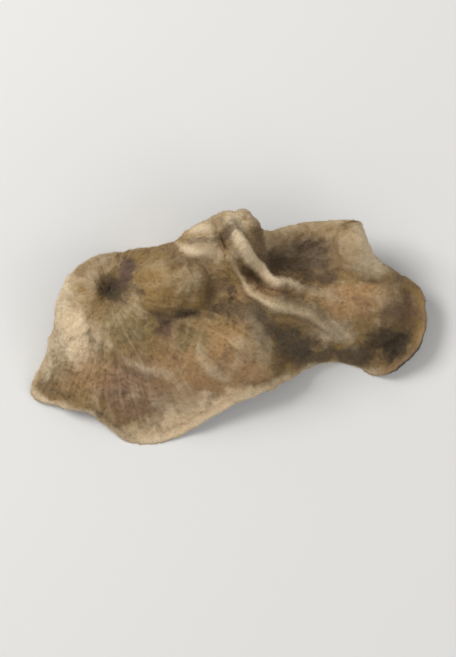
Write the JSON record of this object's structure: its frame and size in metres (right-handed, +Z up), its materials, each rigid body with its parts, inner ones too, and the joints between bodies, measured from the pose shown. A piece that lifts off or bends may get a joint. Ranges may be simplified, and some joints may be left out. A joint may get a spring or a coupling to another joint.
{
  "type": "dried wood ear mushroom",
  "caption": "Dried wood ear fungus: a thin brittle ear-shaped sheet, humped, creased and curled at its margin, felted tan above and near black below.",
  "frame": {"origin": "centre of the bounding box in plan, on the surface that the ear rests on", "axes": "+X along the ear's length, from the attachment's end to the turned-up end; +Y across it; +Z up, out of the felted side"},
  "size_m": [0.041, 0.0242, 0.0126],
  "materials": {
    "dried_flesh": "dull tan felt above, smooth near-black spore face below"
  },
  "bodies": {
    "root": {"wood_ear": "dried_flesh"}
  },
  "joints": []
}
